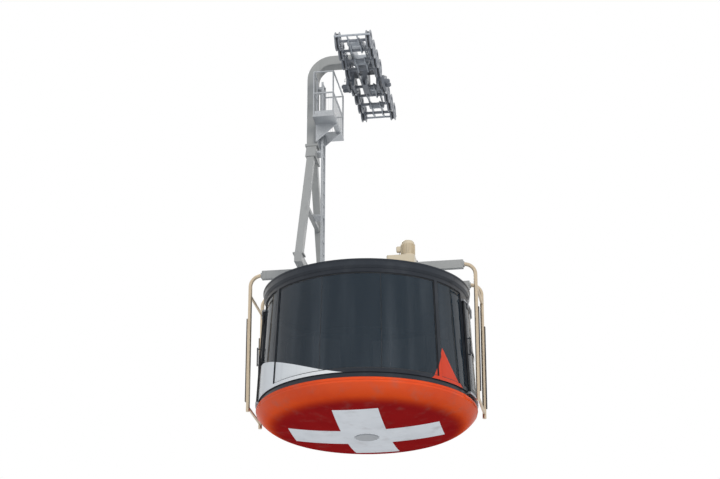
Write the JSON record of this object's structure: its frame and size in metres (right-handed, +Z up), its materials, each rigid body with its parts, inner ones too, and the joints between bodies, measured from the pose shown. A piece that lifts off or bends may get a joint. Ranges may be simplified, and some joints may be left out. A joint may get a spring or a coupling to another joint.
{
  "type": "revolving cable car cabin with hanger and carriage",
  "caption": "Round revolving cable car cabin with a domed red underbody, wraparound tinted windows, sliding doors, a one-sided hanger and a wheeled rope carriage.",
  "frame": {"origin": "midway between the two track ropes, at the height of their centrelines, under the hanger's pivot", "axes": "+Z up, Y along the ropes with the cabin's front facing -Y, +X away from the hanger's column"},
  "size_m": [5.132, 4.8238, 9.278],
  "materials": {
    "carriage_paint": "satin grey paint",
    "brake_steel": "dark grey paint",
    "shaft_steel": "turned steel",
    "hanger_paint": "pale grey satin paint",
    "ladder_zinc": "galvanised",
    "guide_tube": "champagne metallic",
    "drive_housing": "cream paint",
    "cabinet_paint": "dark satin paint",
    "roof_paint": "pale grey satin paint",
    "dark_band": "near-black gloss",
    "interior_panel": "moulded panel",
    "dark_frame": "near-black satin",
    "tinted_glass": "blue-grey tinted",
    "floor_cover": "studded rubber",
    "track_alloy": "anodised",
    "handrail_steel": "brushed",
    "red_gloss": "glossy orange-red",
    "cover_grey": "grey satin",
    "wheel_steel": "grey hub with black liner"
  },
  "bodies": {
    "carriage": {"carriage_beam": "carriage_paint", "main_rockers": "carriage_paint", "bogies": "carriage_paint", "rope_brakes": "brake_steel", "haul_bracket": "brake_steel"},
    "hanger": {"hanger_shaft": "shaft_steel", "hanger_column": "hanger_paint", "hanger_legs": "hanger_paint", "hanger_foot": "hanger_paint", "hanger_ladder": "ladder_zinc", "ladder_rungs": "ladder_zinc", "work_platform": "ladder_zinc", "platform_guard": "ladder_zinc", "guide_frame_left": "guide_tube", "guide_frame_right": "guide_tube", "slewing_drive": "drive_housing", "equipment_cabinet": "cabinet_paint"},
    "cabin": {"slewing_spigot": "shaft_steel", "roof_shell": "roof_paint", "roof_fascia": "dark_band", "ceiling": "interior_panel", "window_frame": "dark_frame", "front_pane": "tinted_glass", "rear_pane": "tinted_glass", "corner_panes": "tinted_glass", "sill_ring": "dark_band", "floor": "floor_cover", "door_thresholds": "track_alloy", "door_headers": "track_alloy", "hatch_curb": "roof_paint", "hatch_trim": "interior_panel", "hatch_trunk": "roof_paint", "handrail": "handrail_steel", "handrail_posts": "handrail_steel", "console": "interior_panel", "bowl": "red_gloss", "bottom_cover": "cover_grey"},
    "door_left": {"door_left": "dark_frame", "door_left_glass": "tinted_glass"},
    "door_right": {"door_right": "dark_frame", "door_right_glass": "tinted_glass"},
    "roof_hatch": {"roof_hatch": "roof_paint"},
    "wheel_pair_1": {"wheel_pair_1": "wheel_steel", "wheel_axle_1": "wheel_steel"},
    "wheel_pair_2": {"wheel_pair_2": "wheel_steel", "wheel_axle_2": "wheel_steel"},
    "wheel_pair_3": {"wheel_pair_3": "wheel_steel", "wheel_axle_3": "wheel_steel"},
    "wheel_pair_4": {"wheel_pair_4": "wheel_steel", "wheel_axle_4": "wheel_steel"},
    "wheel_pair_5": {"wheel_pair_5": "wheel_steel", "wheel_axle_5": "wheel_steel"},
    "wheel_pair_6": {"wheel_pair_6": "wheel_steel", "wheel_axle_6": "wheel_steel"},
    "wheel_pair_7": {"wheel_pair_7": "wheel_steel", "wheel_axle_7": "wheel_steel"},
    "wheel_pair_8": {"wheel_pair_8": "wheel_steel", "wheel_axle_8": "wheel_steel"}
  },
  "joints": [
    {"name": "wheel_pair_1_spin", "type": "hinge", "parent": "carriage", "child": "wheel_pair_1", "pos_m": [0, -1.88, 0.205], "axis": [1, 0, 0], "continuous": true},
    {"name": "wheel_pair_2_spin", "type": "hinge", "parent": "carriage", "child": "wheel_pair_2", "pos_m": [0, -1.4, 0.205], "axis": [1, 0, 0], "continuous": true},
    {"name": "wheel_pair_3_spin", "type": "hinge", "parent": "carriage", "child": "wheel_pair_3", "pos_m": [0, -0.92, 0.205], "axis": [1, 0, 0], "continuous": true},
    {"name": "wheel_pair_4_spin", "type": "hinge", "parent": "carriage", "child": "wheel_pair_4", "pos_m": [0, -0.44, 0.205], "axis": [1, 0, 0], "continuous": true},
    {"name": "wheel_pair_5_spin", "type": "hinge", "parent": "carriage", "child": "wheel_pair_5", "pos_m": [0, 0.44, 0.205], "axis": [1, 0, 0], "continuous": true},
    {"name": "wheel_pair_6_spin", "type": "hinge", "parent": "carriage", "child": "wheel_pair_6", "pos_m": [0, 0.92, 0.205], "axis": [1, 0, 0], "continuous": true},
    {"name": "wheel_pair_7_spin", "type": "hinge", "parent": "carriage", "child": "wheel_pair_7", "pos_m": [0, 1.4, 0.205], "axis": [1, 0, 0], "continuous": true},
    {"name": "wheel_pair_8_spin", "type": "hinge", "parent": "carriage", "child": "wheel_pair_8", "pos_m": [0, 1.88, 0.205], "axis": [1, 0, 0], "continuous": true},
    {"name": "hanger_swing", "type": "hinge", "parent": "carriage", "child": "hanger", "pos_m": [0, 0, 0.65], "axis": [1, 0, 0], "range_deg": [-35, 35]},
    {"name": "cabin_turn", "type": "hinge", "parent": "hanger", "child": "cabin", "pos_m": [0, 0, -5.2], "axis": [0, 0, 1], "continuous": true},
    {"name": "door_left_slide", "type": "hinge", "parent": "cabin", "child": "door_left", "pos_m": [0, 0, -7.74], "axis": [0, 0, -1], "range_deg": [0, 29]},
    {"name": "door_right_slide", "type": "hinge", "parent": "cabin", "child": "door_right", "pos_m": [0, 0, -7.74], "axis": [0, 0, 1], "range_deg": [0, 29]},
    {"name": "roof_hatch_lift", "type": "hinge", "parent": "cabin", "child": "roof_hatch", "pos_m": [1.45, 0, -5.09], "axis": [0, -1, 0], "range_deg": [0, 80]}
  ]
}
